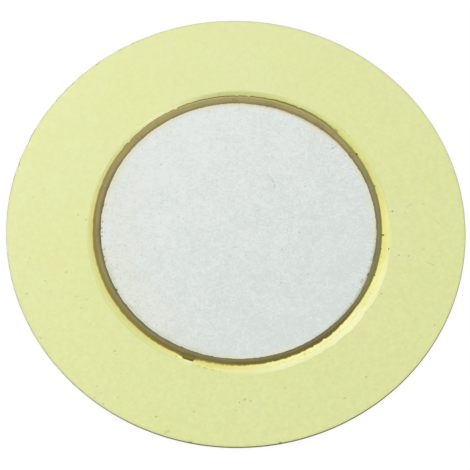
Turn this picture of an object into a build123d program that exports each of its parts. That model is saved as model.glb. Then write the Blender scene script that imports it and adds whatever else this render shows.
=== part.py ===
from build123d import *
import os
from math import cos, radians, sin

# Brass plate, struck from sheet
plate_diameter = 41.0
plate_thickness = 0.3
edge_roll = 0.05  # round drawn into the upper edge by the blow
fracture_height = 0.08  # lowest band of the wall, where the sheet tore
fracture_lean = 0.02  # how far that band falls back at the underside

# Ceramic disc, set down a little off the plate's centre
ceramic_diameter = 25.3
ceramic_thickness = 0.25
ceramic_edge_break = 0.03
ceramic_shift_x = 0.17
ceramic_shift_y = 0.09

# Silver printed and fired onto both faces of the ceramic
silver_thickness = 0.015
silver_margin = 0.42  # bare ceramic left round the print
silver_shift_x = 0.06  # upper print against the ceramic
silver_shift_y = -0.19

# Adhesive: a bond line under the ceramic, a meniscus up its wall and a film squeezed out round both
bond_thickness = 0.02
meniscus_width = 0.4
meniscus_lip = 0.015
meniscus_climb_share = 0.9  # of the straight part of the ceramic's wall
meniscus_height_shares = (0, 0.2, 0.5, 1)
meniscus_fall_shares = (1, 0.62, 0.24, 0)
film_thickness = 0.045
film_edge_run = 0.06  # how far the film's edge slopes back as it set
film_band = 0.95
# Widths round the ring as shares, anticlockwise from +X at even steps
meniscus_width_shares = (0.4, 0.5, 0.95, 0.8, 0.7, 0.55, 0.55, 0.85, 0.85, 0.65, 0.8, 0.35)
film_band_shares = (0.7, 0.6, 0.45, 0.4, 0.25, 0.4, 0.5, 0.55, 0.5, 0.75, 0.8, 0.95)

# Lump of set adhesive against the ceramic's wall
lump_angle = -107
lump_width = 1.05
lump_reach = 0.58
lump_depth = 0.48
lump_height = 0.2
lump_round = 0.04

cut_overrun = 1.0

# Levels and radii that follow from the sizes above
plate_radius = plate_diameter / 2
ceramic_radius = ceramic_diameter / 2
silver_radius = ceramic_radius - silver_margin
ceramic_seat = bond_thickness + silver_thickness
meniscus_climb = ceramic_seat + meniscus_climb_share * (ceramic_thickness - ceramic_edge_break)
full_turn = 360


def turned(*lines):
    profile = Plane.XZ * make_face(Curve() + list(lines))
    return revolve(profile, Axis.Z)


def brass_plate():
    wall_top = plate_thickness - edge_roll
    foot = plate_radius - fracture_lean
    flat = plate_radius - edge_roll
    underside = Line((0, 0), (foot, 0))
    fracture = Line((foot, 0), (plate_radius, fracture_height))
    wall = Line((plate_radius, fracture_height), (plate_radius, wall_top))
    roll = TangentArc((plate_radius, wall_top), (flat, plate_thickness), tangent=(0, 1))
    face = Line((flat, plate_thickness), (0, plate_thickness))
    axis = Line((0, plate_thickness), (0, 0))
    return turned(underside, fracture, wall, roll, face, axis)


def ceramic_disc():
    wall_top = ceramic_thickness - ceramic_edge_break
    flat = ceramic_radius - ceramic_edge_break
    underside = Line((0, 0), (ceramic_radius, 0))
    wall = Line((ceramic_radius, 0), (ceramic_radius, wall_top))
    corner = Line((ceramic_radius, wall_top), (flat, ceramic_thickness))
    face = Line((flat, ceramic_thickness), (0, ceramic_thickness))
    axis = Line((0, ceramic_thickness), (0, 0))
    return turned(underside, wall, corner, face, axis)


def electrode():
    return extrude(Circle(silver_radius), silver_thickness)


def ring_outline(reaches):
    step = radians(full_turn / len(reaches))
    points = []
    for index, reach in enumerate(reaches):
        radius = ceramic_radius + reach
        points.append((radius * cos(index * step), radius * sin(index * step)))
    return make_face(Spline(*points, periodic=True))


def meniscus():
    sections = []
    for height_share, fall_share in zip(meniscus_height_shares, meniscus_fall_shares):
        reaches = [meniscus_lip + fall_share * share * meniscus_width for share in meniscus_width_shares]
        sections.append(Pos(0, 0, height_share * meniscus_climb) * ring_outline(reaches))
    return loft(sections)


def film():
    top_reaches = []
    for width_share, band_share in zip(meniscus_width_shares, film_band_shares):
        top_reaches.append(meniscus_lip + width_share * meniscus_width + band_share * film_band)
    foot = ring_outline([reach + film_edge_run for reach in top_reaches])
    top = Pos(0, 0, film_thickness) * ring_outline(top_reaches)
    return loft([foot, top])


def lump():
    block = extrude(Rectangle(lump_depth, lump_width), lump_height)
    crown = block.faces().sort_by(Axis.Z)[-1]
    block = fillet(crown.edges(), lump_round)
    out = ceramic_radius + lump_reach - lump_depth / 2
    return Rot(0, 0, lump_angle) * Pos(out, 0, 0) * block


def adhesive_bond():
    set_glue = meniscus() + film() + lump()
    pocket_depth = ceramic_thickness + cut_overrun
    ceramic_pocket = Pos(0, 0, ceramic_seat) * extrude(Circle(ceramic_radius), pocket_depth)
    silver_pocket = Pos(0, 0, bond_thickness) * extrude(Circle(silver_radius), silver_thickness)
    return set_glue - ceramic_pocket - silver_pocket


ceramic_centre = Pos(ceramic_shift_x, ceramic_shift_y, plate_thickness)
silver_centre = ceramic_centre * Pos(silver_shift_x, silver_shift_y, ceramic_seat + ceramic_thickness)
parts = {
    "brass_plate": brass_plate(),
    "adhesive_bond": ceramic_centre * adhesive_bond(),
    "lower_electrode": ceramic_centre * Pos(0, 0, bond_thickness) * electrode(),
    "ceramic_disc": ceramic_centre * Pos(0, 0, ceramic_seat) * ceramic_disc(),
    "upper_electrode": silver_centre * electrode(),
}

os.makedirs("parts", exist_ok=True)
for name, solid in parts.items():
    export_step(solid, f"parts/{name}.step")
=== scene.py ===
import math

import bmesh
import bpy
from mathutils import Matrix, Vector, noise


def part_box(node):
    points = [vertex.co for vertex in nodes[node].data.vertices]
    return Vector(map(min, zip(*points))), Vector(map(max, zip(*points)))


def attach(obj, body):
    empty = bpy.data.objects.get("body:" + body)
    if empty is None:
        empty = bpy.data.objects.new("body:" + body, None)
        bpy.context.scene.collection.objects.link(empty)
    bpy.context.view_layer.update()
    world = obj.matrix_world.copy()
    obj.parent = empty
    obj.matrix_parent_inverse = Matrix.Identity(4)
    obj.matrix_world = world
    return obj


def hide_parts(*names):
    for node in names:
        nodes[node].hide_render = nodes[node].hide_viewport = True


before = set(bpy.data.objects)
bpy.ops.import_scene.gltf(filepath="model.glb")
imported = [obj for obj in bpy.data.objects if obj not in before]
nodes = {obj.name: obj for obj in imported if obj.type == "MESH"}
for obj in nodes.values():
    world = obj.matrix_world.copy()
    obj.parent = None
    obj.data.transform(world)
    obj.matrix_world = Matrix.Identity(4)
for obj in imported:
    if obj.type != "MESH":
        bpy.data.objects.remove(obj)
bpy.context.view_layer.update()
mm = 0.001  # the frame is in metres
hair = 1e-7  # closer than this, two heights are the same
markCore = 0.3  # share of a mark's breadth that has its full tone
markHeight = 1000  # mm; a mark is found at any height
print("frame loaded:", ", ".join(sorted(nodes)))


# Centre, radius, underside and top of a round CAD node
def roundOf(name):
    low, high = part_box(name)
    middle = (low + high) / 2
    radius = max(high.x - low.x, high.y - low.y) / 2
    return middle, radius, low.z, high.z


plateAt, plateRadius, plateFloor, plateTop = roundOf("brass_plate")
ceramicAt, ceramicRadius, ceramicSeat, _ = roundOf("ceramic_disc")
silverAt, silverRadius, silverSeat, silverTop = roundOf("upper_electrode")
_, backSilverRadius, backSilverSeat, _ = roundOf("lower_electrode")
adhesiveTop = roundOf("adhesive_bond")[3]


# A colour as read off a screen, 0 to 255, turned into the linear values that Blender takes
def screen(red, green, blue):
    linear = []
    for value in (red, green, blue):
        share = value / 255
        linear.append(share / 12.92 if share <= 0.04045 else ((share + 0.055) / 1.055) ** 2.4)
    return (*linear, 1.0)


# A socket of a finish; sums on it lay down Math nodes
class Wire:
    def __init__(self, finish, socket):
        self.finish = finish
        self.socket = socket

    def __add__(self, other):
        return self.finish.sum("ADD", self, other)

    def __sub__(self, other):
        return self.finish.sum("SUBTRACT", self, other)

    def __rsub__(self, other):
        return self.finish.sum("SUBTRACT", other, self)

    def __mul__(self, other):
        return self.finish.sum("MULTIPLY", self, other)

    def __lt__(self, other):
        return self.finish.sum("LESS_THAN", self, other)

    def __gt__(self, other):
        return self.finish.sum("GREATER_THAN", self, other)

    def __or__(self, other):
        return self.finish.sum("MAXIMUM", self, other)

    def __abs__(self):
        return self.finish.sum("ABSOLUTE", self)

    __radd__ = __add__
    __rmul__ = __mul__


# One material: its Principled shader, the nodes laid before it and the sums between them
class Finish:
    def __init__(self, name, settings):
        self.material = bpy.data.materials.new(name)
        self.material.use_nodes = True
        self.tree = self.material.node_tree
        self.shader = self.tree.nodes["Principled BSDF"]
        for key, value in settings.items():
            self.shader.inputs[key].default_value = value

    def socketOf(self, sockets, key):
        if isinstance(key, int):
            return sockets[key]
        byIdentifier = [socket for socket in sockets if socket.identifier == key]
        return byIdentifier[0] if byIdentifier else sockets[key]

    def feed(self, socket, value):
        if isinstance(value, Wire):
            self.tree.links.new(value.socket, socket)
        else:
            socket.default_value = value

    def node(self, kind, settings, sockets, out=0):
        made = self.tree.nodes.new(kind)
        for key, value in settings.items():
            setattr(made, key, value)
        for key, value in sockets.items():
            self.feed(self.socketOf(made.inputs, key), value)
        return Wire(self, self.socketOf(made.outputs, out))

    def sum(self, operation, *terms):
        return self.node("ShaderNodeMath", {"operation": operation}, dict(enumerate(terms)))

    # Object coordinates about a point, turned, and measured in steps of so many mm each way
    def place(self, about=(0, 0, 0), turn=0.0, step=(1, 1, 1)):
        raw = self.node("ShaderNodeTexCoord", {}, {}, "Object")
        turned = (0, 0, math.radians(turn))
        scale = [length * mm for length in step]
        sockets = {"Vector": raw, "Location": about, "Rotation": turned, "Scale": scale}
        return self.node("ShaderNodeMapping", {"vector_type": "TEXTURE"}, sockets)

    def axis(self, place, name):
        return self.node("ShaderNodeSeparateXYZ", {}, {0: place}, name)

    def reach(self, place):
        across, along = self.axis(place, "X"), self.axis(place, "Y")
        return self.sum("SQRT", across * across + along * along)

    def bearing(self, place):
        turn = self.sum("ARCTAN2", self.axis(place, "Y"), self.axis(place, "X"))
        return self.sum("DEGREES", turn)

    # 0 at low, 1 at high, eased between; low may be the larger
    def ease(self, value, low, high):
        sockets = {"Value": value, "From Min": low, "From Max": high}
        return self.node("ShaderNodeMapRange", {"interpolation_type": "SMOOTHSTEP"}, sockets)

    # 1 at a bearing and as far as its core, falling to 0 a spread away on both sides
    def sector(self, bearing, middle, spread, core=0.0):
        away = self.sum("WRAP", bearing - middle, 180.0, -180.0)
        return self.ease(abs(away), spread, core)

    def cloud(self, place, size, detail=3.0, roughness=0.5):
        sockets = {"Vector": place, "Scale": 1 / size, "Detail": detail, "Roughness": roughness}
        return self.node("ShaderNodeTexNoise", {}, sockets, "Fac")

    # How far a cloud swings to either side of its middle
    def swing(self, cloud, amount):
        return (cloud - 0.5) * amount

    # The thick parts of a cloud, which set in between two of its levels
    def patches(self, place, size, detail, roughness, low, high):
        return self.ease(self.cloud(place, size, detail, roughness), low, high)

    def mix(self, share, first, second):
        sockets = {"Factor_Float": share, "A_Color": first, "B_Color": second}
        return self.node("ShaderNodeMix", {"data_type": "RGBA"}, sockets, "Result_Color")

    # Marks scattered one to a cell, some of the cells left empty; drawn out, they are short scratches
    def specks(self, cell, size, kept, turn=0.0, drawn=1.0):
        sockets = {"Vector": self.place(turn=turn, step=(cell * drawn, cell, cell))}
        far = self.node("ShaderNodeTexVoronoi", {}, {**sockets, "Scale": 1.0}, "Distance")
        tint = self.node("ShaderNodeTexVoronoi", {}, {**sockets, "Scale": 1.0}, "Color")
        chance = self.node("ShaderNodeSeparateColor", {}, {0: tint}, 0)
        share = size / cell
        return self.ease(far, share, share * markCore) * (chance < kept)

    # Several kinds of specks together
    def scatter(self, kinds):
        specks = self.specks(*kinds[0])
        for kind in kinds[1:]:
            specks = specks | self.specks(*kind)
        return specks

    # One oval mark: 1 in its middle, 0 at its rim
    def mark(self, x, y, length, breadth, turn=0.0):
        oval = self.place((x * mm, y * mm, 0), turn, (length / 2, breadth / 2, markHeight))
        far = self.node("ShaderNodeVectorMath", {"operation": "LENGTH"}, {0: oval}, "Value")
        return self.ease(far, 1.0, markCore)

    # Wear with oval marks added, each to its own depth
    def stains(self, wear, marks):
        for *oval, depth in marks:
            wear = wear | self.mark(*oval) * depth
        return wear

    # A colour with oval marks of one tone laid over it
    def daubs(self, colour, marks, tone):
        for *oval, depth in marks:
            colour = self.mix(self.mark(*oval) * depth, colour, tone)
        return colour

    # A cloud laid round the ring: breadth is an angle, and the steps outward are the caller's
    def rays(self, place, breadth, outward, detail=2.0):
        facing = self.node("ShaderNodeVectorMath", {"operation": "NORMALIZE"}, {0: place})
        ring = self.node("ShaderNodeVectorMath", {"operation": "SCALE"}, {0: facing, "Scale": 1 / breadth})
        depth = self.node("ShaderNodeCombineXYZ", {}, {"Z": outward})
        spread = self.node("ShaderNodeVectorMath", {"operation": "ADD"}, {0: ring, 1: depth})
        return self.cloud(spread, 1.0, detail)

    def bump(self, height, strength, depth):
        sockets = {"Height": height, "Strength": strength, "Distance": depth * mm}
        return self.node("ShaderNodeBump", {}, sockets, "Normal")

    def set(self, **inputs):
        names = {
            "colour": "Base Color",
            "rough": "Roughness",
            "metal": "Metallic",
            "normal": "Normal",
            "coat": "Coat Weight",
        }
        for key, value in inputs.items():
            self.feed(self.shader.inputs[names[key]], value)
        return self.material


def dress(piece, material):
    piece.data.materials.clear()
    piece.data.materials.append(material)


# In edit mode, select the corners whose place passes the test
def pick(piece, wanted):
    bpy.ops.mesh.select_all(action="DESELECT")
    shape = bmesh.from_edit_mesh(piece.data)
    for corner in shape.verts:
        corner.select = wanted(corner.co)
    shape.select_flush(True)
    bmesh.update_edit_mesh(piece.data)


# In edit mode, put each selected corner on its own reach from a centre, at its own height
def drawLoop(piece, centre, reachAt, heightAt, band=None):
    shape = bmesh.from_edit_mesh(piece.data)
    bands = shape.verts.layers.float.get("band")
    for corner in shape.verts:
        if corner.select:
            out = (corner.co - centre).xy
            bearing = math.degrees(math.atan2(out.y, out.x)) % 360
            corner.co.xy = centre.xy + out.normalized() * reachAt(bearing)
            corner.co.z = heightAt(bearing)
            if band is not None:
                corner[bands] = band
    bmesh.update_edit_mesh(piece.data)


# Close the open loop, turn the faces outwards and leave edit mode
def closeShell(piece, smoothAngle):
    bpy.ops.mesh.edge_face_add()
    bpy.ops.mesh.select_all(action="SELECT")
    bpy.ops.mesh.normals_make_consistent(inside=False)
    bpy.ops.mesh.select_mode(type="VERT")
    bpy.ops.object.mode_set(mode="OBJECT")
    bpy.ops.object.shade_smooth_by_angle(angle=math.radians(smoothAngle))


# A flat round face to extrude from, in edit mode with its rim selected
def startDisc(name, steps, radius, spot):
    bpy.ops.object.select_all(action="DESELECT")
    bpy.ops.mesh.primitive_circle_add(vertices=steps, radius=radius, fill_type="NGON", location=spot)
    piece = bpy.context.active_object
    piece.name = name
    bpy.ops.object.transform_apply(location=True)
    piece.data.attributes.new("band", "FLOAT", "POINT")
    bpy.ops.object.mode_set(mode="EDIT")
    bpy.ops.mesh.select_mode(type="EDGE")
    bpy.ops.mesh.select_all(action="SELECT")
    bpy.ops.mesh.region_to_loop()
    return piece


# A smooth line through (bearing, value) stations, closed round the circle
def roundLine(stations):
    count = len(stations)

    def station(index):
        turns, place = divmod(index, count)
        bearing, value = stations[place]
        return bearing + 360 * turns, value

    def slope(index):
        before, after = station(index - 1), station(index + 1)
        return (after[1] - before[1]) / (after[0] - before[0])

    def valueAt(bearing):
        index = max(i for i in range(-1, count) if station(i)[0] <= bearing)
        (start, low), (end, high) = station(index), station(index + 1)
        width = end - start
        t = (bearing - start) / width
        lift = (2 * t - 3) * t * t
        pull = slope(index) * (t - 2 * t * t + t**3) + slope(index + 1) * (t**3 - t * t)
        return low * (1 + lift) - high * lift + pull * width

    return valueAt


# Unevenness that repeats round a circle: a smooth cloud sampled on a ring
def unevenness(bearing, bumps, seed):
    turn = math.radians(bearing)
    ring = bumps / (2 * math.pi)
    return noise.noise(Vector((math.cos(turn) * ring, math.sin(turn) * ring, seed)))


def degreesFrom(bearing, middle):
    return abs((bearing - middle + 180) % 360 - 180)


# 1 at a bearing, falling away over a width in degrees
def hump(bearing, middle, width):
    return math.exp(-((degreesFrom(bearing, middle) / width) ** 2))


# 1 within half a width of a bearing, falling to 0 over a soft edge
def shelf(bearing, middle, half, soft):
    share = (half + soft - degreesFrom(bearing, middle)) / soft
    share = min(max(share, 0.0), 1.0)
    return share * share * (3 - 2 * share)


# Unevenness in layers, in mm: depth, bumps round the circle and seed of each
def raggedness(bearing, layers):
    return sum(depth * unevenness(bearing, bumps, seed) for depth, bumps, seed in layers)


# Notches in mm: bearing, half width in degrees and depth of each
def notches(bearing, places):
    return sum(depth * hump(bearing, middle, half) for middle, half, depth in places)


def atBearing(centre, bearing, reach):
    turn = math.radians(bearing)
    return centre.x + reach * math.cos(turn), centre.y + reach * math.sin(turn)


brass = {
    "steps": 1440,  # corners round the rim
    "roll": 0.05 * mm,  # the upper edge, drawn over by the blow
    "rollSteps": 4,
    "tornHeight": 0.08 * mm,  # the lowest part of the wall, where the sheet tore
    "tornLean": 0.02 * mm,
    "flatHolds": (0.05 * mm, 0.1 * mm, 0.25 * mm),  # rings inside the rim that keep the face flat
    "smoothAngle": 30,
    # Nicks in the rim: bearing, half width and depth in mm
    "nicks": [
        (130, 0.12, 0.05), (133.5, 0.2, 0.04), (138.5, 0.12, 0.05), (141.7, 0.25, 0.06),
        (144.8, 0.15, 0.05), (158.3, 0.27, 0.09), (164.9, 0.25, 0.08), (-76.8, 0.15, 0.06),
        (-99, 0.2, 0.04),
    ],
    "nickCore": 0.5,  # share of a nick's half width that moves as one
    "nickDrop": 0.2,  # share of its depth that it also sinks
    "shader": {"Metallic": 0.9, "IOR": 1.5},
    "rough": 0.35,
    "roughSwing": 0.12,
    "wornRough": 0.2,
    "relief": (0.25, 0.004),  # strength, and depth in mm
    "pits": (0.12, 3.0),
    "pitRise": 0.4,
    "wearSink": 1.5,
    "pale": screen(227, 231, 174),
    "deep": screen(225, 231, 162),
    "paintedLightSlope": 0.003,  # painted light: for each mm up and to the left the brass is painted a little paler
    "driftAcross": 0.7,  # a mm to the left counts for less than one up
    # Clouds of tone: size in mm, detail, roughness, and the levels between which the tone sets in
    "broad": (9.0, 3.0),
    "broadSwing": 0.4,
    "mottle": (0.5, 4.0, 0.65),
    "mottleSwing": 0.3,
    "toneRange": (-0.15, 0.15),
    "dull": screen(186, 190, 134),
    "frost": (0.45, 4.0, 0.8, 0.36, 0.64),
    "frostDepth": 0.13,
    "frostDrift": 0.6,  # it is thinner where the brass is paler
    "warm": screen(232, 222, 158),
    "blush": (1.4, 2.0, 0.5, 0.5, 0.7),
    "blushDepth": 0.14,
    "tarnish": screen(118, 112, 58),
    # Specks: size of a cell and of a mark in mm, share of the cells filled, turn, and how far drawn out
    "dots": [(0.8, 0.11, 0.4), (0.9, 0.08, 0.35, 25, 2.5), (1.1, 0.08, 0.35, -50, 3)],
    "dotDepth": 0.5,
    "dotPatches": (5.0, 2.0, 0.5, 0.4, 0.6),
    "dotsFrom": (9.0, -3.0),  # mm up the face between which they thicken towards the bottom
    "dotsLeast": 0.15,
    "lines": [(1.5, 0.05, 0.3, -35, 12), (1.9, 0.05, 0.2, 62, 9)],
    "lineDepth": 0.2,
    "worn": screen(158, 154, 108),
    "wornBand": 0.3,  # mm in from the rim that the face is rubbed dull
    "wornDepth": 0.14,
    # The rim on its dark side, which is painted shade on the lower side, and on its rubbed side, and how
    # far in each runs, in mm
    "edge": screen(97, 91, 51),
    "edgeBand": 0.045,
    "rubbedEdge": screen(211, 212, 179),
    "rubbedBand": 0.1,
    "edgeCore": 0.4,  # share of that run with the full tone
    "darkFrom": (-145, -98),  # bearings over which the painted shade of the dark side sets in, and over which it ends
    "darkTo": (34, -54),
    "wallFrom": (0.02, 0.06),  # mm below the face over which the wall sets in
    "wallFoot": 0.01,
    "cut": screen(200, 197, 134),  # the wall below the rubbed edge
    "cutSide": (110, 85, 60),  # bearing, spread and core in degrees
    # Small dents along the rubbed edge: their breadth as an angle, depth of tone, and where they are deeper
    "dent": screen(110, 104, 70),
    "dentBreadth": 0.03,
    "dentRange": (0.42, 0.62),
    "dentDepth": 0.2,
    "beaten": (142, 40, 25),
    "beatenDepth": 0.4,
    # The same tone in each nick: length in half widths, breadth in mm, depth for each mm of it, the most
    "nickLength": 3,
    "nickBreadth": 0.36,
    "nickTone": 15,
    "nickMost": 0.9,
    "nickFrom": (0.14, 0.05),  # mm below the face over which it sets in
    # Marks on the face: x, y, length and breadth in mm, turn in degrees, depth of tone
    "marks": [
        (13.9, 2.4, 0.22, 0.18, 0, 0.85), (15.05, 2.3, 0.2, 0.14, 90, 0.32),
        (-14.9, -4.7, 0.4, 0.3, 30, 0.2), (-16.2, -6.6, 0.25, 0.2, 0, 0.12),
        (-13.9, -7.0, 0.35, 0.12, -15, 0.24), (-12.9, -7.2, 0.4, 0.12, -5, 0.28),
        (1.4, -16.02, 0.4, 0.3, 40, 0.28), (1.89, -16.13, 0.32, 0.3, 0, 0.22),
        (0.6, -17.05, 0.3, 0.25, 20, 0.17), (-10.25, -11.98, 0.5, 0.3, 30, 0.2),
        (-10.08, -12.31, 0.3, 0.2, -20, 0.22), (-5.34, -19.36, 0.9, 0.5, 20, 0.16),
        (-9.79, -16.31, 0.25, 0.2, 0, 0.25), (-11.25, -15.97, 0.2, 0.18, 0, 0.2),
        (-9.58, -14.1, 0.3, 0.2, 0, 0.15), (14.22, 4.82, 0.35, 0.25, 0, 0.12),
        (15.54, 3.15, 0.5, 0.25, 20, 0.12), (-3.7, 18.1, 0.35, 0.2, 0, 0.09),
        (1.3, 18.3, 0.3, 0.2, 0, 0.1), (18.0, 1.5, 2.0, 0.07, -43, 0.15),
        (17.5, -2.5, 1.5, 0.09, -23, 0.3), (16.8, -1.1, 0.4, 0.12, 43, 0.22),
        (0.6, 17.4, 1.2, 0.07, -48, 0.15), (-14.0, -6.9, 3.0, 0.05, -13, 0.1),
    ],
}


def buildPlate():
    bpy.ops.object.select_all(action="DESELECT")
    bpy.ops.mesh.primitive_cylinder_add(
        vertices=brass["steps"], radius=plateRadius, depth=plateTop - plateFloor, location=plateAt)
    piece = bpy.context.active_object
    piece.name = "struckPlate"
    bpy.ops.object.transform_apply(location=True)
    bpy.ops.object.mode_set(mode="EDIT")
    pick(piece, lambda at: at.z > plateAt.z)
    bpy.ops.mesh.region_to_loop()
    bpy.ops.mesh.bevel(offset=brass["roll"], segments=brass["rollSteps"], profile=0.5)
    bpy.ops.mesh.select_all(action="SELECT")
    bpy.ops.mesh.bisect(
        plane_co=(0, 0, plateFloor + brass["tornHeight"]), plane_no=(0, 0, 1), threshold=hair)
    pick(piece, lambda at: at.z < plateFloor + hair)
    share = 1 - brass["tornLean"] / plateRadius
    bpy.ops.transform.resize(value=(share, share, 1), center_override=(plateAt.x, plateAt.y, plateFloor))
    for hold in brass["flatHolds"]:
        bpy.ops.mesh.inset(thickness=hold)
    pick(piece, lambda at: at.z > plateTop - hair)
    for hold in brass["flatHolds"]:
        bpy.ops.mesh.inset(thickness=hold)
    for bearing, half, depth in brass["nicks"]:
        x, y = atBearing(plateAt, bearing, plateRadius)
        spot = Vector((x, y, plateTop))
        inward = (plateAt - spot).xy.normalized() * depth * mm
        pick(piece, lambda at: (at - spot).length < half * mm * brass["nickCore"])
        bpy.ops.transform.translate(
            value=(inward.x, inward.y, -brass["nickDrop"] * depth * mm), use_proportional_edit=True,
            proportional_edit_falloff="SMOOTH", proportional_size=half * mm)
    bpy.ops.object.mode_set(mode="OBJECT")
    bpy.ops.object.shade_smooth_by_angle(angle=math.radians(brass["smoothAngle"]))
    return piece


def brassFinish():
    finish = Finish("satinBrass", brass["shader"])
    flat = finish.place()
    along = finish.axis(flat, "Y")
    height = finish.axis(flat, "Z")
    mottle = finish.cloud(flat, *brass["mottle"])
    # Painted light: the brass tone is painted paler towards the upper left
    paintedLightSlope = (along - finish.axis(flat, "X") * brass["driftAcross"]) * brass["paintedLightSlope"]
    tone = finish.swing(finish.cloud(flat, *brass["broad"]), brass["broadSwing"])
    tone = tone + finish.swing(mottle, brass["mottleSwing"]) + paintedLightSlope
    colour = finish.mix(finish.ease(tone, *brass["toneRange"]), brass["deep"], brass["pale"])
    frost = finish.patches(flat, *brass["frost"]) * (brass["frostDepth"] - paintedLightSlope * brass["frostDrift"])
    colour = finish.mix(frost, colour, brass["dull"])
    colour = finish.mix(finish.patches(flat, *brass["blush"]) * brass["blushDepth"], colour, brass["warm"])
    low = finish.ease(along, *brass["dotsFrom"]) * (1 - brass["dotsLeast"]) + brass["dotsLeast"]
    busy = finish.patches(flat, *brass["dotPatches"]) * low
    wear = finish.scatter(brass["dots"]) * busy * brass["dotDepth"]
    wear = wear | finish.scatter(brass["lines"]) * brass["lineDepth"]
    wear = finish.stains(wear, brass["marks"])
    colour = finish.mix(wear, colour, brass["tarnish"])

    # From the face over the rim and down the wall
    inward = plateRadius / mm - finish.reach(flat)
    sunk = plateTop / mm - height
    worn = finish.ease(inward, brass["wornBand"], 0.0) * brass["wornDepth"]
    colour = finish.mix(worn, colour, brass["worn"])
    wall = finish.ease(sunk, *brass["wallFrom"]) * finish.ease(height, 0.0, brass["wallFoot"])
    bearing = finish.bearing(flat)
    # Painted shade: on the lower side the rim and the wall are painted dark
    dark = finish.ease(bearing, *brass["darkFrom"]) * finish.ease(bearing, *brass["darkTo"])
    run = dark * (brass["edgeBand"] - brass["rubbedBand"]) + brass["rubbedBand"]
    edge = finish.ease(inward, run, run * brass["edgeCore"]) | wall
    deeper = finish.sector(bearing, *brass["beaten"]) * brass["beatenDepth"] + brass["dentDepth"]
    dents = finish.ease(finish.rays(flat, brass["dentBreadth"], 0.0), *brass["dentRange"]) * deeper
    rubbed = finish.mix(dents, brass["rubbedEdge"], brass["dent"])
    rubbed = finish.mix(wall * finish.sector(bearing, *brass["cutSide"]), rubbed, brass["cut"])
    colour = finish.mix(edge, colour, finish.mix(dark, rubbed, brass["edge"]))
    upper = finish.ease(sunk, *brass["nickFrom"])
    for turn, half, depth in brass["nicks"]:
        x, y = atBearing(plateAt / mm, turn, plateRadius / mm)
        nick = finish.mark(x, y, half * brass["nickLength"], brass["nickBreadth"], turn + 90)
        depth = min(depth * brass["nickTone"], brass["nickMost"])
        colour = finish.mix(nick * upper * depth, colour, brass["dent"])

    rough = brass["rough"] + finish.swing(mottle, brass["roughSwing"]) + wear * brass["wornRough"]
    relief = finish.cloud(flat, *brass["pits"]) * brass["pitRise"] - wear * brass["wearSink"]
    return finish.set(colour=colour, rough=rough, normal=finish.bump(relief, *brass["relief"]))


platePiece = buildPlate()
dress(platePiece, brassFinish())
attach(platePiece, "root")
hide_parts("brass_plate")
print("brass plate struck")

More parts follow.
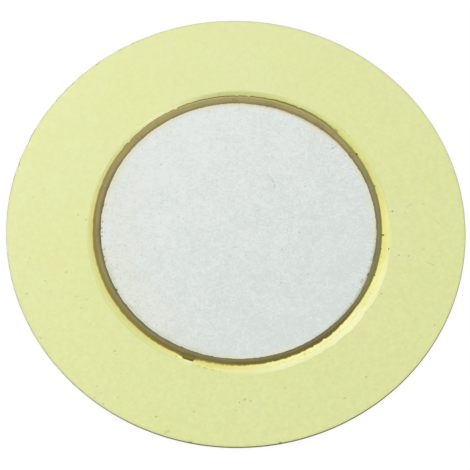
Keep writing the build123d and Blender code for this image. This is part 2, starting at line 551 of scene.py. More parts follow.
silver = {
    "steps": 2880,
    "slump": 0.05 * mm,  # the print's edge slopes over this run
    "slope": [(0.0, 0.45), (0.25, 0.8), (1.0, 1.0)],  # share of that run, and of the thickness
    "flatHold": 0.3 * mm,
    "smoothAngle": 60,
    "nudge": (0.016 * mm, 0.015 * mm, 0.0),
    # How far the print ran past its size: bearing, mm
    "spread": [
        (0, 0.045), (20, 0.03), (55, 0.025), (90, 0.023), (120, 0.043), (150, 0.056), (180, 0.055),
        (210, 0.078), (235, 0.043), (270, 0.025), (300, 0.02), (318, 0.028), (330, 0.065), (345, 0.02),
    ],
    # Its ragged edge in layers: depth in mm, bumps round the edge, seed
    "ragged": [(0.025, 70, 1.2), (0.02, 240, 5.2), (0.035, 620, 8.2)],
    # Where the print's edge is nibbled: bearing, half width in degrees, depth in mm
    "nibbles": [
        (-149.6, 0.5, 0.09), (-141.6, 0.5, 0.05), (-163, 0.4, 0.04), (37.8, 0.5, 0.05), (31, 0.4, 0.05),
        (55, 0.5, 0.04), (-46.6, 0.4, 0.05), (-18, 0.7, 0.12), (-99, 0.5, 0.05), (-112, 0.4, 0.04),
        (172, 0.4, 0.04), (80, 0.4, 0.04),
    ],
    "shader": {"Metallic": 0.15, "IOR": 1.45},
    "rough": 0.62,
    "roughSwing": 0.2,
    "relief": (0.35, 0.01),  # strength, and depth in mm
    "face": screen(233, 238, 235),
    "shade": screen(217, 224, 220),
    "paintedLightSlope": 0.0045,  # painted light: for each mm up and to the left the print is painted a little paler
    # Clouds of tone: size in mm, detail, roughness, and the levels between which the tone sets in
    "grain": (0.22, 3.0, 0.7),
    "grainSwing": 0.65,
    "dimples": (0.6, 2.0),
    "dimpleSwing": 0.25,
    "broad": (2.8, 3.0),
    "broadSwing": 0.2,
    "toneRange": (-0.125, 0.125),
    # Fine rays near the edge: breadth as an angle, steps for each mm out, mm inside it where they set in
    "rayBreadth": 0.012,
    "raySteps": 0.6,
    "rayMargin": (2.2, 0.3),
    "raySwing": 0.3,
    "cream": screen(229, 227, 203),
    "creamPatches": (0.9, 2.0, 0.5, 0.45, 0.7),
    "patchDepth": 0.14,
    "creamSide": (200, 80),  # bearing, spread and core in degrees, as for all the sides below
    "creamRun": (4.5, 0.5),  # mm in from the edge over which it sets in there
    "creamDepth": 0.32,
    "stain": screen(206, 206, 188),
    "stains": [(0.42, 0.16, 0.4), (0.24, 0.1, 0.45)],
    "stainDepth": 0.6,
    "marginBand": 0.5,  # mm in from the edge that the fired print yellows
    "marginBroad": 0.9,  # mm that the broad cloud and the rays move its bound
    "marginRays": 0.4,
    "whiteSide": (-38, 55),  # where it yellows less
    "whiteDepth": 0.7,
    "dullCream": screen(215, 217, 197),  # a greyer margin at the lower left
    "dullSide": (228, 50, 25),
    # Tones along the edge on the far side and on the near side: mm inside it where each begins and is full,
    # how far the rays move that, its bearing, spread and core in degrees, and its depth
    "margins": [
        (screen(202, 190, 154), 0.22, -0.03, 0.1, (66, 44), 0.75),
        (screen(174, 176, 146), 0.2, 0.0, 0.55, (-25, 38, 10), 0.6),
    ],
    "pore": screen(112, 108, 88),  # holes along the print's left edge
    "pores": (0.26, 0.12, 0.4),
    "poreBand": (0.35, 0.1),
    "poreSide": (190, 40, 20),
    "poreDepth": 0.6,
    "speck": screen(158, 164, 160),
    "specks": (0.7, 0.085, 0.35),
    "speckDepth": 0.5,
    # Marks on the print: x, y, length and breadth in mm, turn in degrees, depth of tone
    "marks": [
        (-6.92, 5.9, 0.22, 0.18, 0, 0.62), (-9.0, 6.5, 0.16, 0.12, 0, 0.3),
        (2.7, 5.25, 0.9, 0.24, -54, 0.22), (3.1, 4.75, 0.7, 0.28, -54, 0.34),
        (3.32, 4.25, 0.6, 0.26, -75, 0.28), (1.95, 1.85, 0.6, 0.16, 50, 0.3),
        (5.65, -0.1, 0.2, 0.17, 0, 0.7), (5.98, 4.35, 0.22, 0.18, 0, 0.5),
        (7.1, -4.85, 0.5, 0.12, 20, 0.16), (-3.2, -9.4, 0.2, 0.16, 0, 0.14),
        (11.36, -4.5, 0.8, 0.34, 65, 0.5), (7.41, -9.84, 0.5, 0.2, 30, 0.25),
        (4.15, -1.79, 0.3, 0.16, 0, 0.55), (4.52, -1.77, 0.26, 0.16, 0, 0.5),
        (4.79, -2.06, 0.2, 0.16, 0, 0.26), (4.35, -2.8, 0.18, 0.18, 0, 0.32),
        (4.2, -5.0, 0.22, 0.2, 0, 0.42), (5.87, -5.03, 0.2, 0.2, 0, 0.36),
        (6.57, -4.05, 0.26, 0.2, 0, 0.42), (4.59, 0.15, 0.14, 0.3, 0, 0.3),
        (8.41, 8.17, 0.3, 0.12, 27, 0.75), (8.68, 8.36, 0.26, 0.12, 27, 0.75),
        (8.32, 8.57, 0.26, 0.14, 27, 0.6), (9.51, 7.5, 0.2, 0.2, 0, 0.6),
    ],
    # A rubbed place and two scratches, in the same order
    "pale": screen(233, 235, 241),
    "rubbed": [(-11.54, -0.79, 1.3, 4.4, 0, 0.6)],
    "scratched": screen(240, 243, 234),
    "scratches": [(8.3, 7.88, 0.9, 0.15, 27, 0.9), (8.85, 8.0, 0.6, 0.09, -40, 0.5)],
}


def buildPrint():
    spreadAt = roundLine(silver["spread"])

    def rimAt(bearing):
        ragged = raggedness(bearing, silver["ragged"])
        return silverRadius + (spreadAt(bearing) + ragged - notches(bearing, silver["nibbles"])) * mm

    centre = silverAt + Vector(silver["nudge"])
    spot = (centre.x, centre.y, silverSeat)
    piece = startDisc("silverPrint", silver["steps"], silverRadius, spot)
    thickness = silverTop - silverSeat
    drawLoop(piece, centre, rimAt, lambda b: silverSeat)
    steps = [(share * silver["slump"], rise) for share, rise in silver["slope"]]
    for inset, rise in steps + [(silver["flatHold"], 1.0)]:
        bpy.ops.mesh.extrude_edges_move()
        drawLoop(piece, centre, lambda b: rimAt(b) - inset, lambda b: silverSeat + rise * thickness)
    closeShell(piece, silver["smoothAngle"])
    return piece


def silverFinish():
    finish = Finish("firedSilver", silver["shader"])
    flat = finish.place(silverAt)
    out = finish.reach(flat)
    inward = silverRadius / mm - out
    bearing = finish.bearing(flat)
    grain = finish.cloud(flat, *silver["grain"])
    broad = finish.cloud(flat, *silver["broad"])
    rays = finish.rays(flat, silver["rayBreadth"], out * silver["raySteps"])
    combed = finish.swing(rays, silver["raySwing"]) * finish.ease(inward, *silver["rayMargin"])
    # Painted light: the print's tone is painted paler towards the upper left
    tone = (finish.axis(flat, "Y") - finish.axis(flat, "X")) * silver["paintedLightSlope"] + combed
    tone = tone + finish.swing(grain, silver["grainSwing"]) + finish.swing(broad, silver["broadSwing"])
    tone = tone + finish.swing(finish.cloud(flat, *silver["dimples"]), silver["dimpleSwing"])
    colour = finish.mix(finish.ease(tone, *silver["toneRange"]), silver["shade"], silver["face"])
    patches = finish.patches(flat, *silver["creamPatches"]) * silver["patchDepth"]
    colour = finish.mix(patches, colour, silver["cream"])
    creamed = finish.sector(bearing, *silver["creamSide"]) * finish.ease(inward, *silver["creamRun"])
    colour = finish.mix(creamed * silver["creamDepth"], colour, silver["cream"])
    stains = finish.scatter(silver["stains"]) * creamed
    colour = finish.mix(stains * silver["stainDepth"], colour, silver["stain"])

    # The margin, which yellowed as it was fired
    bound = inward + finish.swing(broad, silver["marginBroad"]) + finish.swing(rays, silver["marginRays"])
    margin = finish.ease(bound, silver["marginBand"], 0.0)
    margin = margin * (1 - finish.sector(bearing, *silver["whiteSide"]) * silver["whiteDepth"])
    cream = finish.mix(finish.sector(bearing, *silver["dullSide"]), silver["cream"], silver["dullCream"])
    colour = finish.mix(margin, colour, cream)
    for tone, begins, full, wander, side, depth in silver["margins"]:
        strip = finish.ease(inward + finish.swing(rays, wander), begins, full)
        colour = finish.mix(strip * finish.sector(bearing, *side) * depth, colour, tone)

    colour = finish.daubs(colour, silver["rubbed"], silver["pale"])
    colour = finish.daubs(colour, silver["scratches"], silver["scratched"])
    pores = finish.specks(*silver["pores"]) * finish.ease(inward, *silver["poreBand"])
    pores = pores * finish.sector(bearing, *silver["poreSide"])
    colour = finish.mix(pores * silver["poreDepth"], colour, silver["pore"])
    wear = finish.stains(finish.specks(*silver["specks"]) * silver["speckDepth"], silver["marks"])
    colour = finish.mix(wear, colour, silver["speck"])
    rough = silver["rough"] + finish.swing(grain, silver["roughSwing"])
    normal = finish.bump(grain + combed - wear, *silver["relief"])
    return finish.set(colour=colour, rough=rough, normal=normal)


printPiece = buildPrint()
silverMaterial = silverFinish()
dress(printPiece, silverMaterial)
dress(nodes["lower_electrode"], silverMaterial)
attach(printPiece, "root")
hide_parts("upper_electrode")
print("silver printed")

ceramic = {
    "shader": {"IOR": 1.5, "Specular IOR Level": 0.25},
    "rough": 0.7,
    "roughSwing": 0.2,
    "relief": (0.3, 0.01),  # strength, and depth in mm
    "lit": screen(168, 155, 100),
    "shaded": screen(152, 144, 99),
    "shadedSide": (-75, 170),  # bearing, spread and core in degrees
    "right": screen(148, 147, 102),
    "rightSide": (0, 45, 20),
    "rightDepth": 0.7,
    # Clouds of tone: size in mm, detail, roughness
    "grain": (0.16, 4.0, 0.6),
    "streaks": (1.6, 3.0),
    "pore": screen(96, 88, 58),
    "poreShares": (0.6, 0.4),  # of the grain and of the streaks
    "poreRange": (0.52, 0.36),
    "poreDepth": 0.35,
    "line": screen(94, 92, 73),  # painted shade beside the print's edge, over so many mm
    "lineBand": (0.42, 0.1),
    "lineSwing": 0.1,
    "lineDepth": 0.48,
    # Where that line is deeper: bearing, spread and core in degrees, then by how much
    "lineDeeper": [(190, 50, 20, 0.24), (-50, 28, 14, 0.2), (238, 24, 8, 0.14)],
}


def ceramicFinish():
    finish = Finish("firedCeramic", ceramic["shader"])
    flat = finish.place(silverAt)
    grain = finish.cloud(flat, *ceramic["grain"])
    streaks = finish.cloud(flat, *ceramic["streaks"])
    bearing = finish.bearing(flat)
    colour = finish.mix(finish.sector(bearing, *ceramic["shadedSide"]), ceramic["lit"], ceramic["shaded"])
    right = finish.sector(bearing, *ceramic["rightSide"])
    colour = finish.mix(right * ceramic["rightDepth"], colour, ceramic["right"])
    grainShare, streakShare = ceramic["poreShares"]
    pores = finish.ease(grain * grainShare + streaks * streakShare, *ceramic["poreRange"])
    colour = finish.mix(pores * ceramic["poreDepth"], colour, ceramic["pore"])
    # Painted shade along the print's edge, deeper on some sides
    outward = finish.reach(flat) - silverRadius / mm
    line = finish.ease(outward + finish.swing(streaks, ceramic["lineSwing"]), *ceramic["lineBand"])
    depth = ceramic["lineDepth"]
    for *side, more in ceramic["lineDeeper"]:
        depth = depth + finish.sector(bearing, *side) * more
    colour = finish.mix(line * depth, colour, ceramic["line"])
    rough = ceramic["rough"] + finish.swing(grain, ceramic["roughSwing"])
    return finish.set(colour=colour, rough=rough, normal=finish.bump(grain, *ceramic["relief"]))


dress(nodes["ceramic_disc"], ceramicFinish())
print("ceramic finished")

bead = {
    "steps": 1440,
    "lip": 0.015 * mm,
    "smoothAngle": 40,
    "climbDrop": 0.02 * mm,  # how far the meniscus stops short of its highest, and how its top line wavers
    "climbRagged": [(0.02, 50, 3.5)],  # in layers: depth in mm, bumps round the ring, seed
    "filmThickness": 0.045 * mm,
    "filmThin": 0.8,  # share of its thickness that the film loses on the way to its edge
    "filmRun": 0.6 * mm,  # over this run it loses all of that share
    "filmLeast": 0.0015 * mm,
    "filmWave": 0.003,  # depth of its waves in mm, their number round the ring, and their change across
    "filmWaves": 70,
    "filmWaveStep": 9,
    "feathered": (84, 34, 16),  # where it thins to nothing: bearing, half width and soft edge in degrees
    "featherShare": 0.95,
    "edgeRun": 0.07 * mm,
    "edgeFall": [(0.5, 0.3), (1.0, 1.0)],  # share of that run, and of the drop to the brass
    "edgeRagged": [(0.025, 60, 7.5), (0.012, 200, 2.5)],
    "torn": (-42, 26, 12),  # where its edge is torn, in the order of feathered
    "tornRagged": [(0.07, 110, 6.5), (0.05, 260, 3.3)],
    "footRagged": [(0.03, 90, 1.5), (0.03, 300, 4.5)],
    "crumbled": (-88, 28, 12),  # where the foot of the meniscus crumbled
    "crumbledRagged": [(0.05, 420, 9.5)],
    # How the meniscus falls from the wall: share of its width, of its height, and of the lump's height
    "fall": [
        (0.0, 1.0, 1.0), (0.1, 0.76, 0.92), (0.24, 0.5, 0.87), (0.42, 0.31, 0.84), (0.62, 0.17, 0.8),
        (0.8, 0.07, 0.75), (0.95, 0.02, 0.62), (1.0, 0.0, 0.0),
    ],
    "filmShares": (0.2, 0.4, 0.6, 0.8, 1.0),
    # Widths in mm past the ceramic at bearings anticlockwise from +X
    "meniscus": [
        (0, 0.21), (10, 0.22), (20, 0.265), (33, 0.29), (39, 0.26), (44, 0.235), (48, 0.275),
        (51.5, 0.37), (60, 0.44), (66, 0.42), (72, 0.39), (80, 0.35), (90, 0.315), (100, 0.32),
        (110, 0.305), (120, 0.28), (135, 0.262), (160, 0.268), (180, 0.295), (200, 0.38), (210, 0.39),
        (230, 0.4), (245, 0.41), (248, 0.42), (250.5, 0.55), (256, 0.39), (260, 0.345), (265, 0.35),
        (271, 0.36), (280, 0.335), (300, 0.34), (310, 0.35), (316, 0.29), (320, 0.225), (330, 0.2),
        (340, 0.255), (350, 0.25),
    ],
    "film": [
        (0, 0.98), (15, 0.89), (30, 0.86), (38, 0.96), (48, 0.95), (55, 0.87), (75, 0.8), (90, 0.73),
        (105, 0.69), (112, 0.63), (120, 0.56), (135, 0.57), (150, 0.63), (165, 0.68), (180, 0.75),
        (195, 0.81), (210, 0.91), (225, 0.95), (240, 0.92), (250, 0.85), (255, 0.87), (262, 0.93),
        (270, 1.06), (285, 1.13), (300, 1.09), (330, 1.12), (345, 1.07),
    ],
    # Where the meniscus broke back to the wall: bearing, half width in degrees, depth in mm
    "gaps": [
        (308, 0.6, 0.13), (141.5, 0.6, 0.13), (118, 0.6, 0.13), (88, 0.6, 0.13), (92.6, 0.5, 0.09),
        (67.5, 0.6, 0.06), (298, 0.4, 0.05), (303.5, 0.35, 0.06), (312.5, 0.4, 0.07), (317, 0.4, 0.06),
        (258.5, 0.5, 0.06), (262.5, 0.4, 0.06), (267, 0.4, 0.05),
    ],
    # Where a piece of the film's edge is gone, in the same order
    "tears": [(-32.5, 1.3, 0.12), (-44, 1.6, 0.06), (-53.6, 1.1, 0.09)],
    "lump": {"bearing": -107.35, "half": 1.95, "soft": 0.45, "reach": 0.6 * mm},
    "shader": {"IOR": 1.5, "Coat Roughness": 0.07, "Specular IOR Level": 0.2},
    "rough": 0.36,
    "roughSwing": 0.16,
    "relief": (0.15, 0.02),  # strength, and depth in mm
    # The brass shines through the film and not through the thick meniscus
    "filmMetal": 0.6,
    "filmCoat": 0.6,
    "thickCoat": 0.1,
    "coatSwing": 0.1,
    # Bands run outward: 0 at the ceramic's wall, 1 at the foot of the meniscus, 2 at the film's edge
    "thickBand": (1.06, 0.94),
    # Clouds: size in mm, detail, roughness; then rays: breadth as an angle, steps outward for each band
    "waves": (0.5, 3.0),
    "blotches": (0.3, 4.0, 0.65),
    "streaks": (0.1, 3.0),
    "threads": (0.03, 6.0),
    # Tones of the meniscus: on its left, on the right, painted light on the far side and painted shade on
    # the near side
    "olive": screen(141, 129, 62),
    "green": screen(141, 135, 73),
    "litMoss": screen(191, 181, 114),
    "deep": screen(113, 104, 41),
    "greenSide": (10, 65, 20),  # bearing, spread and core in degrees, as for all the sides below
    "farSide": (95, 95),
    "nearSide": (-78, 85, 10),
    # Near its top, where the ceramic's wall shows through: the same, with the same painted light and shade,
    # and how far down in bands
    "oliveWall": screen(156, 146, 97),
    "litMossWall": screen(193, 183, 118),
    "shadedWall": screen(134, 124, 73),
    "wallBand": (0.28, 0.06),
    "wallWander": 0.2,
    "nearLess": 0.06,  # it reaches less far down on the near side and at the lump
    "lumpLess": 0.15,
    # A dark line under the wall at the lower left, and a dark stretch at the lower right
    "dark": screen(104, 95, 41),
    "underSide": (-102, 30, 15),
    "underFrom": (0.1, 0.2),
    "underTo": (0.45, 0.32),
    "underWander": 0.3,
    "underDepth": 0.6,
    "darkSide": (-47, 18, 7),
    "darkFrom": (0.06, 0.2),
    "darkDepth": 0.8,
    # Its foot on the far side, which is darker and begins sooner where it broke
    "foot": screen(120, 112, 54),
    "brokenFoot": screen(112, 106, 48),
    "brokenSide": (63, 24, 8),
    "footFrom": (0.6, 0.78),
    "footSooner": (0.1, 0.12),
    # Its foot elsewhere, where it thins to the film, and begins sooner at the lower left
    "amber": screen(181, 168, 70),
    "amberFrom": (0.72, 1.0),
    "soonerSide": (-98, 16, 6),
    "amberSooner": 0.3,
    "lumpTone": screen(124, 115, 48),
    "lumpFrom": (0.25, 0.6),
    "lumpFoot": screen(92, 83, 30),
    "lumpFootFrom": (0.72, 0.9),
    "lumpSoft": 0.7,  # degrees past its half width
    # Tones of the film, at its inside and at its edge, then where they differ: bearing and spread first;
    # the near-white ones at -45, -63 and -20 are painted highlights on the lower right
    "filmTones": (screen(217, 213, 130), screen(219, 221, 144)),
    "tintsAndHighlights": [
        (-95, 42, screen(243, 236, 143), screen(233, 236, 156)),
        (-45, 50, screen(255, 252, 181), screen(249, 250, 191)),
        (-63, 24, screen(255, 252, 183), screen(238, 241, 172)),
        (0, 36, screen(239, 237, 141), screen(238, 239, 151)),
        (38, 28, screen(220, 222, 129), screen(224, 229, 144)),
        (100, 32, screen(193, 196, 128), screen(198, 202, 134)),
        (-20, 15, screen(249, 248, 164), screen(247, 248, 174)),
        (-98, 13, screen(226, 221, 128), screen(232, 233, 150)),
        (62, 20, screen(212, 212, 136), screen(224, 229, 159)),
        (126, 30, screen(217, 214, 162), screen(224, 225, 172)),
        (157, 26, screen(203, 199, 130), screen(205, 208, 143)),
        (180, 30, screen(207, 202, 129), screen(212, 213, 145)),
    ],
    "filmWander": 1.2,  # bands that streaks and blotches shift the tones by
    "filmTurn": (1.1, 1.75),  # bands over which the inner tone gives way to the outer
    "litSide": (-42, 80),  # where the film catches the light
    "litShift": 0.12,  # its tones turn so much further out there, in bands
    "rim": screen(217, 220, 150),  # the film's edge, and where it catches the light
    "brightRim": screen(250, 251, 198),
    "rimFrom": (1.82, 2.0),
    "rimDepth": 0.7,
    "brightSide": (38, 18, 8),
    "brightDepth": 0.4,
    "fadedSides": [(64, 20, 8), (128, 24, 12)],  # where that edge can't be seen
    # Two lines that run round the film on the side that catches the light: a crease where it set in steps,
    # and a painted highlight; band, half width and depth of each
    "crease": screen(226, 221, 130),
    "creaseLine": (1.4, 0.2, 0.6),
    "brightLine": (1.72, 0.22, 0.65),
    "lineStreaks": 0.8,
    "lineThreads": 0.3,
    "creaseRange": (0.4, 0.6),
    "smudge": screen(172, 170, 82),  # where the far foot spread into the film
    "smudgeSide": (62, 34, 18),
    "smudgeTo": (1.5, 1.0),
    "smudgeWander": 1.6,
    "smudgeRange": (0.42, 0.6),
    "smudgeDepth": 0.45,
    # Spots on the film: bearing, distance out, length outward and breadth in mm, depth and tone; the palest
    # five, at -107, -110.5, -32, -53.4 and -41, are painted highlights, and the dark ones from -102.6 to
    # -97.4 are painted shade along the film's edge
    "spotsAndPaintedLight": [
        (-107.0, 13.37, 0.2, 1.2, 1.0, screen(255, 251, 220)),
        (-110.5, 13.24, 0.34, 0.42, 1.0, screen(253, 252, 186)),
        (-112.0, 13.34, 0.14, 0.18, 0.6, screen(128, 118, 58)),
        (-94.4, 13.64, 0.12, 0.12, 0.45, screen(128, 118, 58)),
        (-102.6, 13.46, 0.1, 0.5, 0.6, screen(128, 118, 58)),
        (-100.2, 13.52, 0.1, 0.6, 0.6, screen(128, 118, 58)),
        (-97.4, 13.58, 0.09, 0.5, 0.5, screen(128, 118, 58)),
        (-116.6, 13.1, 0.16, 1.7, 0.6, screen(240, 210, 120)),
        (-94, 13.12, 0.14, 1.6, 0.4, screen(242, 216, 122)),
        (-32, 13.48, 0.4, 0.7, 0.45, screen(255, 254, 225)),
        (-53.4, 13.42, 0.3, 0.8, 0.4, screen(255, 253, 225)),
        (-41, 13.2, 0.24, 1.0, 0.4, screen(255, 248, 215)),
        (49.5, 13.06, 0.36, 0.8, 0.7, screen(158, 154, 66)),
        (99.7, 13.22, 0.2, 0.35, 0.35, screen(150, 148, 80)),
        (48.2, 13.49, 0.13, 0.3, 0.55, screen(160, 156, 84)),
        (47.1, 13.52, 0.12, 0.26, 0.45, screen(160, 156, 84)),
        (44.5, 13.49, 0.13, 0.28, 0.5, screen(160, 156, 84)),
    ],
}


def buildAdhesive():
    centre = ceramicAt.copy()
    meniscusAt = roundLine(bead["meniscus"])
    filmAt = roundLine(bead["film"])
    filmTop = plateTop + bead["filmThickness"]
    lump = bead["lump"]

    def lumpAt(bearing):
        return shelf(bearing, lump["bearing"], lump["half"], lump["soft"])

    def footOf(bearing):
        ragged = raggedness(bearing, bead["footRagged"])
        ragged += raggedness(bearing, bead["crumbledRagged"]) * shelf(bearing, *bead["crumbled"])
        width = (meniscusAt(bearing) + ragged - notches(bearing, bead["gaps"])) * mm
        width = max(width, bead["lip"] * 2)
        return width + lumpAt(bearing) * max(lump["reach"] - width, 0)

    def edgeOf(bearing):
        torn = raggedness(bearing, bead["tornRagged"]) - notches(bearing, bead["tears"])
        ragged = raggedness(bearing, bead["edgeRagged"]) + torn * shelf(bearing, *bead["torn"])
        return max((filmAt(bearing) + ragged) * mm, footOf(bearing) + bead["lip"])

    def climbAt(bearing):
        return adhesiveTop - bead["climbDrop"] + raggedness(bearing, bead["climbRagged"]) * mm

    def riseAt(bearing, rise, lumpRise):
        share = rise + (lumpRise - rise) * lumpAt(bearing)
        return filmTop + share * (climbAt(bearing) - filmTop)

    def waveAt(bearing, share):
        width = min((edgeOf(bearing) - footOf(bearing)) / bead["filmRun"], 1.0)
        feather = shelf(bearing, *bead["feathered"]) * bead["featherShare"]
        loss = bead["filmThin"] * width
        thin = bead["filmThickness"] * share * (loss + (1 - loss) * feather)
        wave = bead["filmWave"] * mm * unevenness(bearing, bead["filmWaves"], share * bead["filmWaveStep"])
        return max(filmTop - thin + wave, plateTop + bead["filmLeast"])

    # Each loop: how far out it runs, how high, and its band: 0 at the wall, 1 to 2 across the film, 3 last
    start = ceramicRadius + bead["lip"]
    loops = [
        (lambda b: backSilverRadius, lambda b: ceramicSeat, 0),
        (lambda b: ceramicRadius, lambda b: ceramicSeat, 0),
        (lambda b: ceramicRadius, climbAt, 0),
    ]
    for share, rise, lumpRise in bead["fall"]:
        loops.append((
            lambda b, share=share: start + share * footOf(b),
            lambda b, rise=rise, lumpRise=lumpRise: riseAt(b, rise, lumpRise), share))
    for share in bead["filmShares"]:
        loops.append((
            lambda b, share=share: start + footOf(b) + share * (edgeOf(b) - footOf(b)),
            lambda b, share=share: waveAt(b, share), 1 + share))
    for share, drop in bead["edgeFall"]:
        loops.append((
            lambda b, share=share: start + edgeOf(b) + share * bead["edgeRun"],
            lambda b, drop=drop: waveAt(b, 1) + drop * (plateTop - waveAt(b, 1)), 2 + share))

    spot = (centre.x, centre.y, backSilverSeat)
    piece = startDisc("adhesiveBead", bead["steps"], backSilverRadius, spot)
    for reachAt, heightAt, band in loops:
        bpy.ops.mesh.extrude_edges_move()
        drawLoop(piece, centre, reachAt, heightAt, band)
    closeShell(piece, bead["smoothAngle"])
    return piece


# A line round the ring where the bands pass one value
def ringLine(finish, bands, middle, half, depth):
    return finish.ease(abs(bands - middle), half, 0.0) * depth


# The film, from the foot of the meniscus at band 1 to its edge at band 2
def filmTone(finish, flat, bearing, band, streaks, blotches):
    inner, outer = bead["filmTones"]
    # Among the tints, the near-white ones on the lower right are painted highlights
    for middle, spread, innerTint, outerTint in bead["tintsAndHighlights"]:
        share = finish.sector(bearing, middle, spread)
        inner = finish.mix(share, inner, innerTint)
        outer = finish.mix(share, outer, outerTint)
    lit = finish.sector(bearing, *bead["litSide"])
    wander = finish.swing(streaks, bead["filmWander"]) + finish.swing(blotches, bead["filmWander"])
    outward = band + wander - lit * bead["litShift"]
    film = finish.mix(finish.ease(outward, *bead["filmTurn"]), inner, outer)

    # Its crease, a painted highlight line, and its edge
    breadth, steps = bead["threads"]
    threads = finish.rays(flat, breadth, band * steps)
    wander = finish.swing(streaks, bead["lineStreaks"]) + finish.swing(threads, bead["lineThreads"])
    crease = ringLine(finish, band + wander, *bead["creaseLine"]) * lit
    film = finish.mix(crease * finish.ease(blotches, *bead["creaseRange"]), film, bead["crease"])
    # A painted highlight line round the film where it catches the light
    shine = ringLine(finish, band + wander, *bead["brightLine"]) * lit
    film = finish.mix(shine, film, bead["brightRim"])
    bright = lit | finish.sector(bearing, *bead["brightSide"]) * bead["brightDepth"]
    rim = finish.mix(bright, bead["rim"], bead["brightRim"])
    seen = finish.ease(band, *bead["rimFrom"]) * bead["rimDepth"]
    for side in bead["fadedSides"]:
        seen = seen * (1 - finish.sector(bearing, *side))
    film = finish.mix(seen, film, rim)

    # What lies on it
    spread = finish.ease(band + finish.swing(blotches, bead["smudgeWander"]), *bead["smudgeTo"])
    smudge = finish.sector(bearing, *bead["smudgeSide"]) * spread * bead["smudgeDepth"]
    film = finish.mix(smudge * finish.ease(blotches, *bead["smudgeRange"]), film, bead["smudge"])
    # Spots on the film, some of them painted highlights and painted shade
    for turn, reach, length, breadth, depth, tone in bead["spotsAndPaintedLight"]:
        x, y = atBearing(ceramicAt / mm, turn, reach)
        film = finish.mix(finish.mark(x, y, length, breadth, turn) * depth, film, tone)
    return film


# The meniscus, from the ceramic's wall at band 0 to its foot at band 1, and the lump
def meniscusTone(finish, bearing, band, streaks):
    far = finish.sector(bearing, *bead["farSide"])
    near = finish.sector(bearing, *bead["nearSide"])
    half = bead["lump"]["half"]
    lump = finish.sector(bearing, bead["lump"]["bearing"], half + bead["lumpSoft"], half)
    tone = finish.mix(finish.sector(bearing, *bead["greenSide"]), bead["olive"], bead["green"])
    # Painted light on the far side and painted shade on the near side
    tone = finish.mix(far, tone, bead["litMoss"])
    tone = finish.mix(near, tone, bead["deep"])
    # The wall showing through near the top, with the same painted light and shade
    wall = finish.mix(far, bead["oliveWall"], bead["litMossWall"])
    wall = finish.mix(near, wall, bead["shadedWall"])
    low, high = bead["wallBand"]
    low = low - lump * bead["lumpLess"] - near * bead["nearLess"]
    top = finish.ease(band + finish.swing(streaks, bead["wallWander"]), low, high)
    tone = finish.mix(top, tone, wall)

    # Its dark places
    under = finish.ease(band + finish.swing(streaks, bead["underWander"]), *bead["underTo"])
    under = under * finish.ease(band, *bead["underFrom"]) * bead["underDepth"]
    tone = finish.mix(under * finish.sector(bearing, *bead["underSide"]), tone, bead["dark"])
    dark = finish.sector(bearing, *bead["darkSide"]) * finish.ease(band, *bead["darkFrom"])
    tone = finish.mix(dark * bead["darkDepth"], tone, bead["dark"])

    # Its foot
    broken = finish.sector(bearing, *bead["brokenSide"])
    foot = finish.mix(broken, bead["foot"], bead["brokenFoot"])
    limits = [at - broken * sooner for at, sooner in zip(bead["footFrom"], bead["footSooner"])]
    tone = finish.mix(far * finish.ease(band, *limits), tone, foot)
    low, high = bead["amberFrom"]
    low = low - finish.sector(bearing, *bead["soonerSide"]) * bead["amberSooner"]
    tone = finish.mix((1 - far) * (1 - lump) * finish.ease(band, low, high), tone, bead["amber"])
    tone = finish.mix(lump * finish.ease(band, *bead["lumpFrom"]), tone, bead["lumpTone"])
    return finish.mix(lump * finish.ease(band, *bead["lumpFootFrom"]), tone, bead["lumpFoot"])


def adhesiveFinish():
    finish = Finish("setAdhesive", bead["shader"])
    flat = finish.place(ceramicAt)
    bearing = finish.bearing(flat)
    band = finish.node("ShaderNodeAttribute", {"attribute_name": "band"}, {}, "Fac")
    waves = finish.cloud(flat, *bead["waves"])
    blotches = finish.cloud(flat, *bead["blotches"])
    breadth, steps = bead["streaks"]
    streaks = finish.rays(flat, breadth, band * steps)
    film = filmTone(finish, flat, bearing, band, streaks, blotches)
    thick = finish.ease(band, *bead["thickBand"])
    colour = finish.mix(thick, film, meniscusTone(finish, bearing, band, streaks))
    metal = bead["filmMetal"] - thick * bead["filmMetal"]
    rough = bead["rough"] + finish.swing(waves, bead["roughSwing"])
    coat = bead["filmCoat"] - thick * (bead["filmCoat"] - bead["thickCoat"])
    coat = coat + finish.swing(waves, bead["coatSwing"])
    normal = finish.bump(waves, *bead["relief"])
    return finish.set(colour=colour, metal=metal, rough=rough, coat=coat, normal=normal)


crumbs = {
    # Crumbs in the adhesive: bearing, distance from the ceramic's centre, length outward and breadth, in mm
    "places": [
        (-0.1, 12.93, 0.3, 0.16), (-6.1, 12.88, 0.16, 0.13), (-9.4, 13.03, 0.07, 0.06),
        (-11.6, 13.02, 0.06, 0.05), (-5.6, 13.57, 0.07, 0.2), (-17.6, 12.92, 0.16, 0.12),
        (21.1, 12.96, 0.12, 0.12), (36.5, 12.91, 0.24, 0.3),
    ],
    "height": 0.09,
    "uneven": 0.06 * mm,
    "seed": 4,
    "soft": 0.5,
    "width": 1 * mm,  # of a crumb before it is scaled
    "subdivisions": 3,
    "shader": {"IOR": 1.5},
    "dark": screen(88, 78, 34),
    "light": screen(124, 112, 56),
    "grit": (0.03, 3.0),  # size in mm, and detail
    "lightFrom": (0.4, 0.6),
    "rough": 0.45,
    "roughSwing": 0.3,
    "relief": (0.4, 0.01),
}


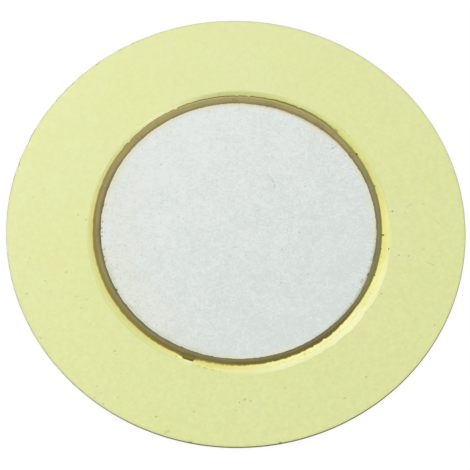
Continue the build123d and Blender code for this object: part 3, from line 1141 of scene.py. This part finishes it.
# One rough crumb, then a copy for each place
def buildCrumbs():
    bpy.ops.object.select_all(action="DESELECT")
    bpy.ops.mesh.primitive_ico_sphere_add(
        subdivisions=crumbs["subdivisions"], radius=crumbs["width"] / 2, location=(0, 0, 0))
    first = bpy.context.active_object
    first.name = "adhesiveCrumbs"
    bpy.ops.object.mode_set(mode="EDIT")
    bpy.ops.mesh.select_all(action="SELECT")
    bpy.ops.transform.vertex_random(offset=crumbs["uneven"], seed=crumbs["seed"])
    bpy.ops.mesh.vertices_smooth(factor=crumbs["soft"], repeat=1)
    bpy.ops.object.mode_set(mode="OBJECT")
    bpy.ops.object.shade_smooth()
    copies = [first]
    for _ in crumbs["places"][1:]:
        another = first.copy()
        another.data = first.data.copy()
        bpy.context.collection.objects.link(another)
        copies.append(another)
    for crumb, (bearing, reach, length, breadth) in zip(copies, crumbs["places"]):
        x, y = atBearing(ceramicAt, bearing, reach * mm)
        crumb.location = (x, y, plateTop + bead["filmThickness"])
        crumb.rotation_euler = (0, 0, math.radians(bearing))
        crumb.scale = (length, breadth, crumbs["height"])
        crumb.select_set(True)
    bpy.context.view_layer.objects.active = first
    bpy.ops.object.transform_apply(location=True, rotation=True, scale=True)
    bpy.ops.object.join()
    return first


def crumbFinish():
    finish = Finish("darkCrumb", crumbs["shader"])
    grit = finish.cloud(finish.place(), *crumbs["grit"])
    colour = finish.mix(finish.ease(grit, *crumbs["lightFrom"]), crumbs["dark"], crumbs["light"])
    rough = crumbs["rough"] + finish.swing(grit, crumbs["roughSwing"])
    return finish.set(colour=colour, rough=rough, normal=finish.bump(grit, *crumbs["relief"]))


adhesivePiece = buildAdhesive()
dress(adhesivePiece, adhesiveFinish())
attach(adhesivePiece, "root")
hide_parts("adhesive_bond")
crumbPiece = buildCrumbs()
dress(crumbPiece, crumbFinish())
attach(crumbPiece, "root")
print("adhesive set")

studio = {
    "floorSize": 6.0,
    "white": (1.0, 1.0, 1.0, 1.0),
    "paper": {"Roughness": 1.0, "Specular IOR Level": 0.0},
    "floorGlow": 0.85,  # share of the floor that the camera sees as plain white; the rest takes the shadow
    "paperLight": 1.02,  # a little over white, so that the paper stays white in the open
    "skyGlow": 0.74,  # 1 is as bright as white paper
    # Soft boxes: side and place in metres; a glow of 1 is as bright as white paper
    "lamps": [
        {"name": "ceilingBox", "size": 0.7, "glow": 0.25, "at": (-0.05, 0.27, 0.66)},
        {"name": "sideBox", "size": 0.18, "glow": 0.9, "at": (-0.15, 0.2, 0.26)},
        {"name": "frontBox", "size": 0.25, "glow": 1.8, "at": (-0.12, -0.3, 0.3)},
    ],
}


def floorFinish():
    finish = Finish("floorPaper", {"Base Color": studio["white"], **studio["paper"]})
    straight, mirrored, through = [
        finish.node("ShaderNodeLightPath", {}, {}, name)
        for name in ("Is Camera Ray", "Is Glossy Ray", "Is Transmission Ray")]
    share = (straight | mirrored | through) * studio["floorGlow"]
    sockets = {"Color": studio["white"], "Strength": studio["paperLight"]}
    glow = finish.node("ShaderNodeEmission", {}, sockets)
    paper = Wire(finish, finish.shader.outputs[0])
    both = finish.node("ShaderNodeMixShader", {}, {0: share, 1: paper, 2: glow})
    finish.feed(finish.tree.nodes["Material Output"].inputs["Surface"], both)
    return finish.material


def buildStudio():
    bpy.ops.object.select_all(action="DESELECT")
    bpy.ops.mesh.primitive_plane_add(size=studio["floorSize"], location=(0, 0, plateFloor))
    floor = bpy.context.active_object
    floor.name = "floor"
    dress(floor, floorFinish())
    world = bpy.data.worlds.new("softSky")
    world.use_nodes = True
    world.node_tree.nodes["Background"].inputs["Color"].default_value = studio["white"]
    world.node_tree.nodes["Background"].inputs["Strength"].default_value = studio["skyGlow"]
    bpy.context.scene.world = world
    for lamp in studio["lamps"]:
        spot = Vector(lamp["at"])
        facing = (-spot).to_track_quat("-Z", "Y").to_euler()
        bpy.ops.object.light_add(type="AREA", location=spot, rotation=facing)
        made = bpy.context.active_object
        made.name = lamp["name"]
        made.data.size = lamp["size"]
        made.data.energy = lamp["glow"] * math.pi * lamp["size"] ** 2
        made.visible_camera = False


camera = {
    "elevation": 68.139,  # degrees above the plate
    "roll": 2.356,
    "distance": 400 * mm,
    "lens": 343.3,
    "sensor": 36,
    "clipStart": 10 * mm,
    "aim": (-0.065 * mm, -0.376 * mm, 0.0),
}


def buildCamera():
    lift = math.radians(camera["elevation"])
    back = Vector((0, -math.cos(lift), math.sin(lift)))
    spot = Vector(camera["aim"]) + camera["distance"] * back
    bpy.ops.object.camera_add(location=spot)
    made = bpy.context.active_object
    made.name = "photoCamera"
    made.data.lens = camera["lens"]
    made.data.sensor_width = camera["sensor"]
    made.data.clip_start = camera["clipStart"]
    tip = Matrix.Rotation(math.pi / 2 - lift, 4, "X")
    roll = Matrix.Rotation(math.radians(camera["roll"]), 4, "Z")
    made.matrix_world = Matrix.Translation(spot) @ tip @ roll
    bpy.context.scene.camera = made


buildStudio()
buildCamera()
bpy.context.scene.view_settings.view_transform = "Standard"
print("studio and camera set")
